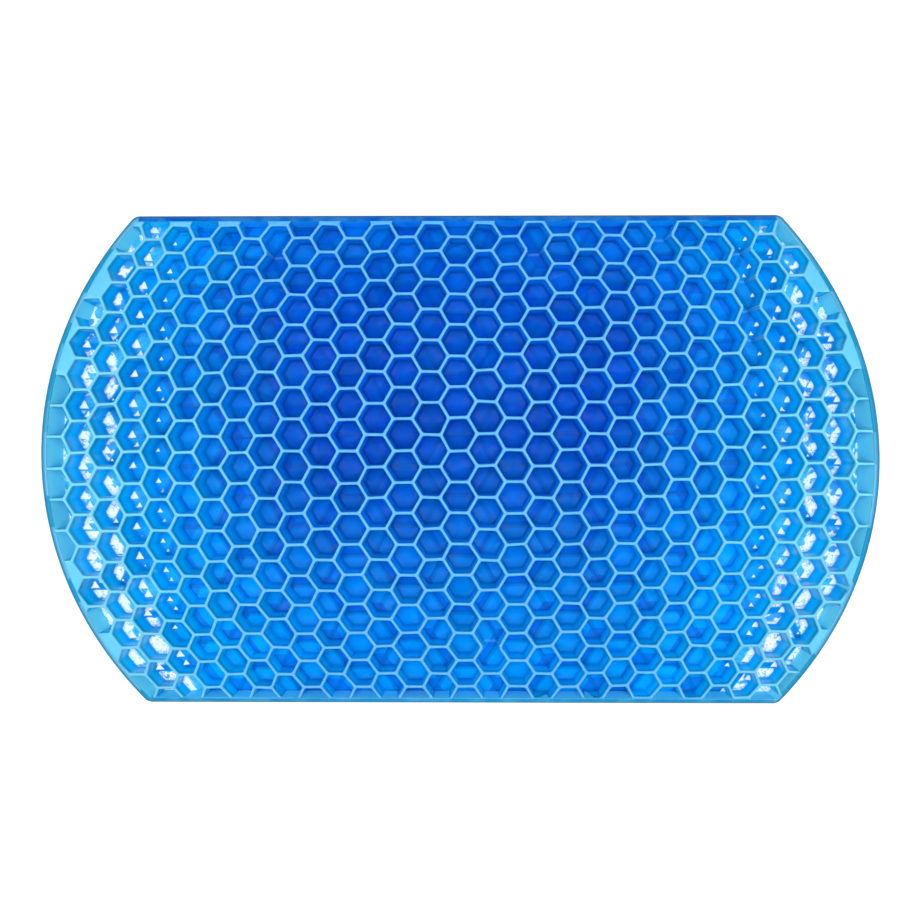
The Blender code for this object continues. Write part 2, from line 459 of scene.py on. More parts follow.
# The walls of the large cells, seen through the membrane, painted on it as lines and faces of
# painted shade; and the painted shade under the rims of the small cells.
BELOW_WALL = (1.7 * MM, 1.1 * MM)
BELOW_BARE = (1.7 * MM, 2.5 * MM)
BELOW_SHADE = 0.35
BELOW_FACE_SHADE = (0.5, 0.1)
RIM_SHADE = 0.55

# The walls of the small cells, seen from below through the membrane, painted as pale lines in the
# colour of the painted light on their tops.
ABOVE_WALL = (1.3 * MM, 0.8 * MM)

# The edge wall: how strongly each tint of painted light shows, the size of its clouds of painted
# light, and ribs over the walls.
FRONT_TINT = 0.4
EDGE_CLOUD_SIZE = 9 * MM
EDGE_CLOUD = (0.35, 0.7)
EDGE_CLOUD_TINT = 0.3
SIDE_CLOUD_TINT = 0.15
BAND_SIZE = 30 * MM
RIB_REACH = (2.4 * MM, 0.6 * MM)
RIB_HEIGHT = 0.00012

GEL_IOR = 1.42
GEL_SPECULAR = 0.12
COAT_IOR = 1.5
COAT_ROUGHNESS = 0.08
SUBSURFACE = 0.4
SUBSURFACE_RADIUS = (0.1, 0.5, 1.0)
SUBSURFACE_SCALE = 2 * MM
EDGE_SUBSURFACE = 0.2


def new_gel(name):
    """A gel material: returns it with its tree, its shader and a position on the object."""
    material = bpy.data.materials.new(name)
    material.use_nodes = True
    tree = material.node_tree
    shader = tree.nodes["Principled BSDF"]
    shader.inputs["IOR"].default_value = GEL_IOR
    shader.inputs["Specular IOR Level"].default_value = GEL_SPECULAR
    shader.inputs["Coat IOR"].default_value = COAT_IOR
    shader.inputs["Coat Roughness"].default_value = COAT_ROUGHNESS
    shader.inputs["Subsurface Weight"].default_value = SUBSURFACE
    shader.inputs["Subsurface Radius"].default_value = SUBSURFACE_RADIUS
    shader.inputs["Subsurface Scale"].default_value = SUBSURFACE_SCALE
    position = tree.nodes.new("ShaderNodeTexCoord").outputs["Object"]
    return material, tree, shader, position


def attribute(tree, name, output="Fac"):
    """A value stored on the piece's points."""
    reader = tree.nodes.new("ShaderNodeAttribute")
    reader.attribute_name = name
    return reader.outputs[output]


def bump(tree, shader, height):
    """Tilt the normal by a height in metres."""
    tilted = tree.nodes.new("ShaderNodeBump")
    tilted.inputs["Strength"].default_value = 1.0
    tilted.inputs["Distance"].default_value = 1.0
    feed(tree, height, tilted.inputs["Height"])
    feed(tree, tilted.outputs["Normal"], shader.inputs["Normal"])


def grey(tree, value):
    """A colour with the same value in all parts."""
    return vector_of(tree, value, value, value)


def product(tree, *values):
    """Values multiplied together."""
    total = values[0]
    for value in values[1:]:
        total = calc(tree, "MULTIPLY", total, value)
    return total


def triangle(tree, offset, place, size):
    """1 in a small triangle that points along Y, by its distance from middle to side."""
    apart = parts_of(tree, vector_calc(tree, "SUBTRACT", offset, place))
    slope = calc(
        tree, "ADD", product(tree, calc(tree, "ABSOLUTE", apart["X"]), SQRT3 / 2),
        product(tree, apart["Y"], 0.5),
    )
    reach = calc(tree, "MAXIMUM", slope, calc(tree, "MULTIPLY", apart["Y"], -1.0))
    inside = calc(tree, "SUBTRACT", size, reach)
    return ramp(tree, inside, 0.0, TRIANGLE_BLUR)


def distance_out(tree, place, pull):
    """How far a place is from the middle, with Y counted for less."""
    flattened = vector_of(tree, place["X"], product(tree, place["Y"], pull))
    return vector_calc(tree, "LENGTH", flattened)


def highlight_triangles(tree, place, away, small, on_floor):
    """Small triangles of painted highlight in the outer corners of the floors that the painted
    reflection has not yet reached.
    """
    side = calc(tree, "SIGN", place["X"])
    tip = calc(tree, "MULTIPLY", side, CORNER_TIP)
    outer = vector_of(tree, calc(tree, "ADD", tip, TIP_SHIFT[0]), TIP_SHIFT[1])
    lower = vector_of(tree, product(tree, tip, LOWER_TIP[0]), -CORNER_TIP * LOWER_TIP[1])
    bigger = ramp(tree, away, GROWTH_START, REFLECTION_START, 0.0, TRIANGLE_GROWTH)
    usual = ramp(tree, small["Cell Tone"], 0.0, 1.0, *TRIANGLE_SIZE)
    first = calc(tree, "ADD", bigger, usual)
    smaller = ramp(tree, small["Cell Tone"], 0.4, 0.5, *SECOND_SMALLER)
    second = calc(tree, "SUBTRACT", first, smaller)
    spots = calc(
        tree, "MAXIMUM", triangle(tree, small["Offset"], outer, first),
        triangle(tree, small["Offset"], lower, second),
    )
    flat = distance_out(tree, place, BACK_PULL)
    shown = ramp(tree, flat, CORNER_HIGHLIGHT_START, CORNER_HIGHLIGHT_START + CORNER_HIGHLIGHT_BLEND)
    return product(tree, spots, on_floor, shown)


def upper_gel(groups):
    """The gel of the small cells, with the large cells showing through the membrane."""
    material, tree, shader, position = new_gel("upper_gel")
    lattice = attribute(tree, "lattice", "Vector")
    spread = vector_calc(tree, "MULTIPLY", lattice, (BELOW_SPREAD, BELOW_SPREAD, 0.0))
    small = place_group(tree, groups["pattern"], Position=lattice, Pitch=UPPER_PITCH)
    large = place_group(tree, groups["pattern"], Position=lattice, Pitch=LOWER_PITCH)
    beyond = place_group(tree, groups["pattern"], Position=spread, Pitch=LOWER_PITCH)
    light = place_group(tree, groups["light"], Position=position)
    pale = attribute(tree, "pale")
    floor = attribute(tree, "floor")
    on_floor = ramp(tree, floor, 0.9, 1.0)

    # Painted light: the deep blue turns to the lit blue towards the ends and the front.
    colour = blend(tree, light["Lightness"], DEEP_BLUE, LIT_BLUE)
    # Painted light: the wall faces lighter than the floors.
    lit_face_colour = blend(tree, light["Lightness"], LIT_FACE_DEEP, LIT_FACE_BRIGHT)
    colour = blend(tree, ramp(tree, floor, 0.0, 1.0, 1.0, 0.0), colour, lit_face_colour)
    tone = ramp(tree, small["Cell Tone"], 0.0, 1.0, 0.94, 1.06)
    colour = blend(tree, 1.0, colour, grey(tree, tone), "MULTIPLY")
    # Painted shade: the faces of the large cells' walls under the membrane, painted darker blue,
    # less so at the ends.
    step = calc(tree, "SUBTRACT", large["Cell Tone"], beyond["Cell Tone"])
    shaded_face_below = calc(tree, "GREATER_THAN", calc(tree, "ABSOLUTE", step), 1e-4)
    face_shade = ramp(tree, light["End"], 0.4, 0.9, *BELOW_FACE_SHADE)
    colour = blend(tree, product(tree, shaded_face_below, on_floor, face_shade), colour, SHADED_FACE_BLUE)
    # Painted shade: a darker line along each large cell's wall under the membrane.
    wall_line_shade = product(tree, ramp(tree, large["Wall Distance"], *BELOW_WALL), on_floor)
    colour = blend(tree, product(tree, wall_line_shade, BELOW_SHADE), colour, SHADOW_TEAL)

    place = parts_of(tree, position)
    pull = ramp(tree, place["Y"], -PULL_CHANGE, PULL_CHANGE, FRONT_PULL, BACK_PULL)
    away = distance_out(tree, place, pull)
    # Painted reflection near the ends: speckled, in patches, kept off the large cells' wall lines.
    speckle_lines = calc(tree, "SUBTRACT", mottle(tree, position, SPECKLE_SIZE, 3.0), 0.5)
    speckle_lines = calc(tree, "ABSOLUTE", speckle_lines)
    speckle = ramp(tree, speckle_lines, 0.0, SPECKLE_WIDTH, SPECKLE_SHARE, 1.0)
    cloud = mottle(tree, position, PATCH_SIZE, 1.0)
    fuller = ramp(tree, place["Y"], -HALF_DEPTH, HALF_DEPTH, PATCH_FRONT, PATCH_BACK)
    patchy = ramp(tree, calc(tree, "ADD", cloud, fuller), *PATCH_EDGE, PATCH_SHARE, 1.0)
    bare = ramp(tree, large["Wall Distance"], *BELOW_BARE)
    # A fainter painted reflection, in half of the cells.
    sheen = product(
        tree, ramp(tree, away, SHEEN_START, REFLECTION_START, 0.0, SHEEN_STRENGTH), speckle, on_floor,
        ramp(tree, small["Cell Tone"], 0.45, 0.55),
    )
    colour = blend(tree, sheen, colour, SHEEN_CYAN)
    # The full painted reflection.
    reflection_reach = ramp(tree, away, REFLECTION_START, REFLECTION_START + REFLECTION_BLEND)
    reflection = product(tree, reflection_reach, on_floor, speckle, patchy, bare)
    # Painted highlights: small triangles in the floors' outer corners.
    spots = highlight_triangles(tree, place, away, small, on_floor)

    # Painted shade: darker towards the rim, down the walls of the small cells.
    shade_under_rim = calc(tree, "POWER", calc(tree, "SUBTRACT", 1.0, floor), 4.0)
    colour = blend(tree, product(tree, shade_under_rim, RIM_SHADE), colour, SHADOW_TEAL)
    # The painted reflection and painted highlights, in white.
    colour = blend(tree, calc(tree, "MAXIMUM", reflection, spots), colour, REFLECTION_WHITE)
    # Painted light on the wall tops, with a painted reflection at the ends.
    lit_rim_colour = blend(tree, light["End"], LIT_PALE_CYAN, REFLECTED_PALE_LAVENDER)
    colour = blend(tree, pale, colour, lit_rim_colour)
    feed(tree, colour, shader.inputs["Base Color"])
    feed(tree, ramp(tree, floor, 0.0, 1.0, 0.45, 0.30), shader.inputs["Roughness"])
    feed(tree, ramp(tree, floor, 0.0, 1.0, 0.8, 0.1), shader.inputs["Coat Weight"])
    surface = place_group(tree, groups["surface"], Position=position)
    bump(tree, shader, surface["Height"])
    return material


def lower_gel(groups):
    """The gel of the large cells, seen from below."""
    material, tree, shader, position = new_gel("lower_gel")
    lattice = attribute(tree, "lattice", "Vector")
    small = place_group(tree, groups["pattern"], Position=lattice, Pitch=UPPER_PITCH)
    large = place_group(tree, groups["pattern"], Position=lattice, Pitch=LOWER_PITCH)
    light = place_group(tree, groups["light"], Position=position)
    pale = attribute(tree, "pale")
    floor = attribute(tree, "floor")
    # Painted light: the deep blue turns to the lit blue towards the ends and the front.
    colour = blend(tree, light["Lightness"], DEEP_BLUE, LIT_BLUE)
    tone = ramp(tree, large["Cell Tone"], 0.0, 1.0, 0.92, 1.08)
    colour = blend(tree, 1.0, colour, grey(tree, tone), "MULTIPLY")
    # The small cells' walls seen through the membrane, painted pale like the painted light on their
    # tops.
    wall_above = ramp(tree, small["Wall Distance"], *ABOVE_WALL)
    colour = blend(tree, product(tree, wall_above, floor, 0.5), colour, LIT_PALE_CYAN)
    # Painted shade: darker towards the rims, down the walls of the large cells.
    shade_under_rim = calc(tree, "POWER", calc(tree, "SUBTRACT", 1.0, floor), 2.0)
    colour = blend(tree, product(tree, shade_under_rim, 0.5), colour, SHADOW_TEAL)
    # Painted light on the rims of the large cells.
    colour = blend(tree, product(tree, pale, 0.85), colour, LIT_PALE_CYAN)
    feed(tree, colour, shader.inputs["Base Color"])
    feed(tree, ramp(tree, pale, 0.0, 1.0, 0.30, 0.42), shader.inputs["Roughness"])
    shader.inputs["Coat Weight"].default_value = 0.5
    surface = place_group(tree, groups["surface"], Position=position)
    bump(tree, shader, surface["Height"])
    return material


def edge_gel(groups):
    """The gel of the wall around the edge."""
    material, tree, shader, position = new_gel("edge_gel")
    small = place_group(tree, groups["pattern"], Position=position, Pitch=UPPER_PITCH)
    light = place_group(tree, groups["light"], Position=position)
    pale = attribute(tree, "pale")
    end = attribute(tree, "end")
    dark = attribute(tree, "dark")
    inner = attribute(tree, "inner")
    side = attribute(tree, "side")
    place = parts_of(tree, position)
    # Painted light: the edge wall lighter teal towards the front.
    front = ramp(tree, place["Y"], 0.5 * HALF_DEPTH, -0.5 * HALF_DEPTH)
    colour = blend(tree, front, BACK_BLUE, FRONT_TEAL)
    # Painted light: the inner face lighter than the top band, more so towards the front.
    lit_face_colour = blend(tree, light["Lightness"], LIT_FACE_DEEP, LIT_FACE_BRIGHT)
    lit_face_colour = blend(tree, product(tree, front, FRONT_TINT), lit_face_colour, LIT_END_CYAN)
    colour = blend(tree, inner, colour, lit_face_colour)
    # Painted light: clouds of light cyan, fuller at the ends, and the inner faces of the end arcs
    # in light cyan.
    cloud = mottle(tree, position, EDGE_CLOUD_SIZE, 2.0)
    light_clouds = ramp(tree, cloud, *EDGE_CLOUD, 0.0, EDGE_CLOUD_TINT)
    light_clouds = product(tree, light_clouds, ramp(tree, end, 0.0, 1.0, 0.3, 1.0))
    colour = blend(tree, light_clouds, colour, LIT_END_CYAN)
    lit_end_face = product(tree, end, ramp(tree, inner, 0.0, 1.0, 0.0, 0.85))
    colour = blend(tree, lit_end_face, colour, LIT_END_CYAN)
    # Painted light on the top of the end arcs, in random blocks of two pale blues.
    block = ramp(tree, small["Cell Tone"], 0.25, 0.75)
    end_colour = blend(tree, block, RIM_DEEP, RIM_BLUE)
    end_top = product(tree, end, calc(tree, "SUBTRACT", 1.0, inner))
    colour = blend(tree, end_top, colour, end_colour)
    # Painted light on the top band of the edge wall, broken by random clouds.
    band = ramp(tree, mottle(tree, position, BAND_SIZE, 1.0), 0.35, 0.65, 0.45, 1.0)
    lit_rim_colour = blend(tree, end, LIT_PALE_CYAN, end_colour)
    colour = blend(tree, product(tree, pale, band), colour, lit_rim_colour)
    # Painted light: the outer face lighter cyan at the ends, with clouds of light cyan.
    side_colour = blend(tree, end, SIDE_BLUE, SIDE_CYAN)
    side_light_clouds = ramp(tree, cloud, *EDGE_CLOUD, 0.0, SIDE_CLOUD_TINT)
    side_colour = blend(tree, side_light_clouds, side_colour, LIT_END_CYAN)
    colour = blend(tree, side, colour, side_colour)
    # Painted shade: a dark line along the rounded shoulder.
    outline = blend(tree, end, SHADED_OUTLINE_BLUE, SHADED_OUTLINE_END)
    colour = blend(tree, product(tree, dark, 0.95), colour, outline)
    feed(tree, colour, shader.inputs["Base Color"])
    near_wall = ramp(tree, small["Wall Distance"], *RIB_REACH, 0.0, RIB_HEIGHT)
    feed(tree, ramp(tree, cloud, 0.3, 0.7, 0.26, 0.36), shader.inputs["Roughness"])
    feed(tree, ramp(tree, dark, 0.0, 1.0, 0.3, 0.0), shader.inputs["Coat Weight"])
    shader.inputs["Subsurface Weight"].default_value = EDGE_SUBSURFACE
    shader.inputs["Specular IOR Level"].default_value = 0.0
    surface = place_group(tree, groups["surface"], Position=position)
    bump(tree, shader, calc(tree, "ADD", surface["Height"], near_wall))
    return material


# ---------------------------------------------------------------- the honeycombs

def ring_points(pitch, inset, corner_round):
    """Points of a hexagon with two sides along X, moved in, with three points at each corner."""
    side = (pitch - 2 * inset) / SQRT3
    share = max(CORNER_SHARE, corner_round / (SQRT3 * side)) if inset else CORNER_SHARE
    points = []
    for corner in range(6):
        angle = math.radians(60 * corner)
        here = Vector((math.cos(angle), math.sin(angle))) * side
        after = Vector((math.cos(angle + math.pi / 3), math.sin(angle + math.pi / 3))) * side
        pulled = here * (1 - (2 / SQRT3 - 1) * corner_round / side)
        points += [pulled, here.lerp(after, share), here.lerp(after, 1 - share)]
    return points


def helper_object(name, shape):
    """An object for a shape that only the honeycomb tree uses."""
    mesh = bpy.data.meshes.new(name)
    shape.to_mesh(mesh)
    shape.free()
    return bpy.data.objects.new(name, mesh)


def make_cell(name, pitch, rings):
    """One cell: the middle lines of its walls, down their faces, to its floor."""
    shape = bmesh.new()
    floor_layer = shape.verts.layers.float.new("floor")
    pale_layer = shape.verts.layers.float.new("pale")
    loops = []
    for inset, corner_round, share, height, pale in rings:
        loop = []
        for point in ring_points(pitch, inset * MM, corner_round * MM):
            vert = shape.verts.new((point.x, point.y, height * MM))
            vert[floor_layer] = share
            vert[pale_layer] = pale
            loop.append(vert)
        loops.append(loop)
    for outer, inner in zip(loops, loops[1:]):
        for number in range(len(outer)):
            after = (number + 1) % len(outer)
            shape.faces.new((outer[number], outer[after], inner[after], inner[number]))
    shape.faces.new(loops[-1])
    return helper_object(name, shape)


def make_blank(name, pitch):
    """A place in the honeycomb that has no cell, solid up to the rim plane."""
    shape = bmesh.new()
    floor_layer = shape.verts.layers.float.new("floor")
    pale_layer = shape.verts.layers.float.new("pale")
    verts = [shape.verts.new((point.x, point.y, 0.0)) for point in ring_points(pitch, 0, 0)]
    for vert in verts:
        vert[floor_layer] = 0.0
        vert[pale_layer] = BLANK_PALE
    shape.faces.new(verts)
    return helper_object(name, shape)


def honeycomb_tree():
    """Geometry Nodes: cells on a honeycomb lattice, as far out as the outline lets them."""
    tree = bpy.data.node_groups.new("honeycomb", "GeometryNodeTree")
    new_socket(tree, "Geometry", "INPUT", "Geometry")
    for name in ("Cell", "Blank"):
        new_socket(tree, name, "INPUT", "Object")
    for name in ("Columns", "Rows"):
        new_socket(tree, name, "INPUT", "Int")
    for name in ("Pitch", "Half Depth", "Arc Centre", "Arc Radius", "Cell Reach", "Blank Reach"):
        new_socket(tree, name, "INPUT", "Float")
    new_socket(tree, "Material", "INPUT", "Material")
    new_socket(tree, "Geometry", "OUTPUT", "Geometry")
    given = tree.nodes.new("NodeGroupInput").outputs
    result = tree.nodes.new("NodeGroupOutput").inputs

    line = tree.nodes.new("GeometryNodeMeshLine")
    feed(tree, calc(tree, "MULTIPLY", given["Columns"], given["Rows"]), line.inputs["Count"])
    index = tree.nodes.new("GeometryNodeInputIndex").outputs[0]
    half_columns = calc(tree, "FLOOR", calc(tree, "DIVIDE", given["Columns"], 2.0))
    half_rows = calc(tree, "FLOOR", calc(tree, "DIVIDE", given["Rows"], 2.0))
    step = calc(tree, "FLOOR", calc(tree, "DIVIDE", calc(tree, "ADD", index, 0.5), given["Rows"]))
    column = calc(tree, "SUBTRACT", step, half_columns)
    before = calc(tree, "MULTIPLY", step, given["Rows"])
    row = calc(tree, "SUBTRACT", calc(tree, "SUBTRACT", index, before), half_rows)
    odd = calc(tree, "MODULO", calc(tree, "ABSOLUTE", column), 2.0)
    x = calc(tree, "MULTIPLY", calc(tree, "MULTIPLY", column, SQRT3 / 2), given["Pitch"])
    along = calc(tree, "ADD", row, calc(tree, "MULTIPLY", odd, 0.5))
    y = calc(tree, "MULTIPLY", along, given["Pitch"])
    placed = tree.nodes.new("GeometryNodeSetPosition")
    feed(tree, line.outputs[0], placed.inputs["Geometry"])
    feed(tree, vector_of(tree, x, y), placed.inputs["Position"])

    place = parts_of(tree, tree.nodes.new("GeometryNodeInputPosition").outputs[0])
    across = calc(tree, "SUBTRACT", calc(tree, "ABSOLUTE", place["X"]), given["Arc Centre"])
    reach = vector_calc(tree, "LENGTH", vector_of(tree, across, place["Y"]))
    past_arc = calc(tree, "SUBTRACT", reach, given["Arc Radius"])
    past_side = calc(tree, "SUBTRACT", calc(tree, "ABSOLUTE", place["Y"]), given["Half Depth"])
    past = calc(tree, "MAXIMUM", past_arc, past_side)
    kept = tree.nodes.new("GeometryNodeDeleteGeometry")
    feed(tree, placed.outputs[0], kept.inputs["Geometry"])
    far = calc(tree, "GREATER_THAN", past, given["Blank Reach"])
    feed(tree, far, kept.inputs["Selection"])

    is_cell = calc(tree, "LESS_THAN", past, given["Cell Reach"])
    joined = tree.nodes.new("GeometryNodeJoinGeometry")
    for name, chosen in (("Cell", is_cell), ("Blank", calc(tree, "SUBTRACT", 1.0, is_cell))):
        source = tree.nodes.new("GeometryNodeObjectInfo")
        feed(tree, given[name], source.inputs["Object"])
        copies = tree.nodes.new("GeometryNodeInstanceOnPoints")
        feed(tree, kept.outputs[0], copies.inputs["Points"])
        feed(tree, chosen, copies.inputs["Selection"])
        feed(tree, source.outputs["Geometry"], copies.inputs["Instance"])
        feed(tree, copies.outputs[0], joined.inputs[0])
    real = tree.nodes.new("GeometryNodeRealizeInstances")
    feed(tree, joined.outputs[0], real.inputs[0])
    welded = tree.nodes.new("GeometryNodeMergeByDistance")
    feed(tree, real.outputs[0], welded.inputs["Geometry"])
    feed(tree, SAME_POINT, welded.inputs["Distance"])
    dressed = tree.nodes.new("GeometryNodeSetMaterial")
    feed(tree, welded.outputs[0], dressed.inputs["Geometry"])
    feed(tree, given["Material"], dressed.inputs["Material"])
    feed(tree, dressed.outputs[0], result[0])
    return tree


def grow_honeycomb(name, tree, pitch, rings, material):
    """Run the honeycomb tree and keep its result as a plain mesh, still flat."""
    cell = make_cell(name + "_cell", pitch, rings)
    blank = make_blank(name + "_blank", pitch)
    piece = bpy.data.objects.new(name, bpy.data.meshes.new(name + "_seed"))
    bpy.context.scene.collection.objects.link(piece)
    modifier = piece.modifiers.new("honeycomb", "NODES")
    modifier.node_group = tree
    columns = 2 * math.ceil((HALF_WIDTH + pitch) / (pitch * SQRT3 / 2)) + 1
    rows = 2 * math.ceil((HALF_DEPTH + pitch) / pitch) + 1
    values = {
        "Cell": cell, "Blank": blank, "Columns": columns, "Rows": rows, "Pitch": pitch,
        "Half Depth": HALF_DEPTH - STRAIGHT_RIM, "Arc Centre": ARC_CENTRE,
        "Arc Radius": ARC_RADIUS - ARC_RIM, "Cell Reach": CELL_REACH * pitch,
        "Blank Reach": BLANK_REACH * pitch, "Material": material,
    }
    for socket in tree.interface.items_tree:
        if socket.in_out == "INPUT" and socket.name in values:
            modifier[socket.identifier] = values[socket.name]
    bpy.context.view_layer.update()
    depsgraph = bpy.context.evaluated_depsgraph_get()
    mesh = bpy.data.meshes.new_from_object(piece.evaluated_get(depsgraph))
    piece.modifiers.clear()
    piece.data = mesh
    mesh.name = name
    for helper in (cell, blank):
        bpy.data.objects.remove(helper, do_unlink=True)
    return piece


def bend_walls(shape):
    """Turn and shift the honeycomb and bend its walls; its straight form stays as a value."""
    straight = shape.verts.layers.float_vector.new("lattice")
    turn = Matrix.Rotation(LATTICE_TURN, 3, "Z")
    noise.seed_set(WAVE_SEED)
    for vert in shape.verts:
        x, y = vert.co.x, vert.co.y
        vert[straight] = (x, y, 0.0)
        vert.co = turn @ vert.co
        vert.co.y += LATTICE_SHIFT
        vert.co.x += settle(vert.co.x, vert.co.y)
        for size, reach in WAVES:
            push = noise.noise_vector(Vector((x / size, y / size, size * WAVE_SLICES)))
            vert.co.x += push.x * reach
            vert.co.y += push.y * reach


def lower_walls(shape):
    """Bring the walls that stop low down to a small rib on the floor."""
    floor_layer = shape.verts.layers.float["floor"]
    pale_layer = shape.verts.layers.float["pale"]
    side = UPPER_PITCH / SQRT3
    for column, along in LOW_WALLS:
        x = column * UPPER_PITCH * SQRT3 / 2
        y = along * UPPER_PITCH
        for vert in shape.verts:
            across = abs(vert.co.y - y)
            if abs(vert.co.x - x) < LOW_WALL_LENGTH * side and across < LOW_WALL_REACH:
                vert[floor_layer] = 1.0
                vert[pale_layer] *= LOW_WALL_PALE
                vert.co.z = LOW_WALL_HEIGHT * (1 - across / LOW_WALL_FOOT)


def cut_faces(shape, faces, point, normal, clear_outer=False):
    """Cut these faces, with their edges and points, by a plane."""
    edges = {edge for face in faces for edge in face.edges}
    verts = {vert for face in faces for vert in face.verts}
    bmesh.ops.bisect_plane(
        shape, geom=list(verts) + list(edges) + list(faces), dist=SAME_POINT / 10,
        plane_co=point, plane_no=normal, clear_outer=clear_outer,
    )


def cut_to_outline(shape):
    """Cut the honeycomb off along the straight edges and the end arcs."""
    planes = [(Vector((0, side * (HALF_DEPTH - STRAIGHT_RIM), 0)), Vector((0, side, 0)))
              for side in (1, -1)]
    radius = ARC_RADIUS - ARC_RIM
    corner = math.asin((HALF_DEPTH - STRAIGHT_RIM) / radius)
    for end in (1, -1):
        for step in range(ARC_STEPS):
            first = corner * (2 * step / ARC_STEPS - 1)
            middle = corner * ((2 * step + 1) / ARC_STEPS - 1)
            point = (end * (ARC_CENTRE + radius * math.cos(first)), radius * math.sin(first), 0)
            normal = (end * math.cos(middle), math.sin(middle), 0)
            planes.append((Vector(point), Vector(normal)))
    for point, normal in planes:
        limit = point.dot(normal)
        beyond = {vert for vert in shape.verts if vert.co.dot(normal) > limit}
        faces = {face for vert in beyond for face in vert.link_faces}
        cut_faces(shape, faces, point, normal, clear_outer=True)


def close_skin(shape, skin_height):
    """Close the honeycomb with a skirt and a skin, split so that the skin can curve."""
    floor_layer = shape.verts.layers.float["floor"]
    pale_layer = shape.verts.layers.float["pale"]
    rim = [edge for edge in shape.edges if len(edge.link_faces) == 1]
    skirt = bmesh.ops.extrude_edge_only(shape, edges=rim)["geom"]
    for vert in (item for item in skirt if isinstance(item, bmesh.types.BMVert)):
        vert.co.z = skin_height
        vert[floor_layer] = 1.0
        vert[pale_layer] = 0.0
    lowest = [item for item in skirt if isinstance(item, bmesh.types.BMEdge)]
    bmesh.ops.contextual_create(shape, geom=lowest)
    strips = math.ceil(2 * HALF_DEPTH / STRIP)
    for number in range(1, strips):
        y = -HALF_DEPTH + 2 * HALF_DEPTH * number / strips
        faces = [face for face in shape.faces
                 if all(abs(vert.co.z - skin_height) < SAME_POINT for vert in face.verts)]
        cut_faces(shape, faces, Vector((0, y, skin_height)), Vector((0, 1, 0)))


def crown_honeycomb(shape, rim_plane, floor_plane):
    """Give every point its real height, between its own rim and floor planes."""
    floor_layer = shape.verts.layers.float["floor"]
    for vert in shape.verts:
        share = vert[floor_layer]
        y = vert.co.y
        vert.co.z += (1 - share) * rim_plane(y) + share * floor_plane(y)


def finish_shape(piece, shape):
    """Tidy a closed shape, point its faces outwards and shade it."""
    slant(shape)
    bmesh.ops.remove_doubles(shape, verts=shape.verts, dist=SAME_POINT / 10)
    bmesh.ops.dissolve_degenerate(shape, edges=shape.edges, dist=SAME_POINT / 10)
    bmesh.ops.recalc_face_normals(shape, faces=shape.faces)
    bmesh.ops.triangulate(shape, faces=[face for face in shape.faces if len(face.verts) > 4])
    shape.to_mesh(piece.data)
    shape.free()
    piece.data.shade_smooth()
    piece.data.set_sharp_from_angle(angle=math.radians(SHARP_ANGLE))


def upper_gel_cells(tree, material):
    """The small cells that open upwards, with their half of the membrane."""
    piece = grow_honeycomb("upper_gel_cells", tree, UPPER_PITCH, UPPER_RINGS, material)
    shape = bmesh.new()
    shape.from_mesh(piece.data)
    lower_walls(shape)
    bend_walls(shape)
    cut_to_outline(shape)
    close_skin(shape, -SKIN)
    crown_honeycomb(shape, top_height, lambda y: membrane_height(y) + GAP / 2 + SKIN)
    finish_shape(piece, shape)
    return piece


def lower_gel_cells(tree, material):
    """The large cells that open downwards, with their half of the membrane."""
    piece = grow_honeycomb("lower_gel_cells", tree, LOWER_PITCH, LOWER_RINGS, material)
    shape = bmesh.new()
    shape.from_mesh(piece.data)
    bend_walls(shape)
    cut_to_outline(shape)
    close_skin(shape, SKIN)
    crown_honeycomb(shape, lambda y: 0.0, lambda y: membrane_height(y) - GAP / 2 - SKIN)
    finish_shape(piece, shape)
    return piece


# ---------------------------------------------------------------- the wall around the edge

END_STEPS = 34
CORNER_STEPS = 7
STRAIGHT_STEPS = 26
SHOULDER_STEPS = 8
FRONT_LIP = 0.8

# The shoulder's width and height, along the straight edges and along the end arcs.
SHOULDER_WIDE = (3.3, 1.2)
SHOULDER_TALL = (2.6, 1.2)

# The painted shade along the shoulder, a dark line: how far in it fades, at the straight edges and
# more at the ends.
DARK_START = 3.0
DARK_FADE = 0.42
DARK_FADE_END = 0.5

# The outer face and its mould line, up to the shoulder; then the lip and the inner face, by how
# far they are from the wall's full width.
MOULD_LINE = 0.45
OUTER_FACE = (
    (1.1 * MM, 0.0, 0.0, 0.0), (0.35 * MM, 0.0, 0.25 * MM, 0.0), (0.0, 0.0, 1.1 * MM, 0.0),
    (0.0, MOULD_LINE, -0.6 * MM, 0.0), (-0.12 * MM, MOULD_LINE, 0.0, 0.3),
    (0.0, MOULD_LINE, 0.6 * MM, 0.0),
)
DARK_UNDER = 0.6 * MM
SIDE_POINTS = len(OUTER_FACE) + 1
LIP = ((0.35 * MM, 0.0, 1.0), (0.08 * MM, -0.12 * MM, 1.0), (0.0, -0.5 * MM, 0.2))


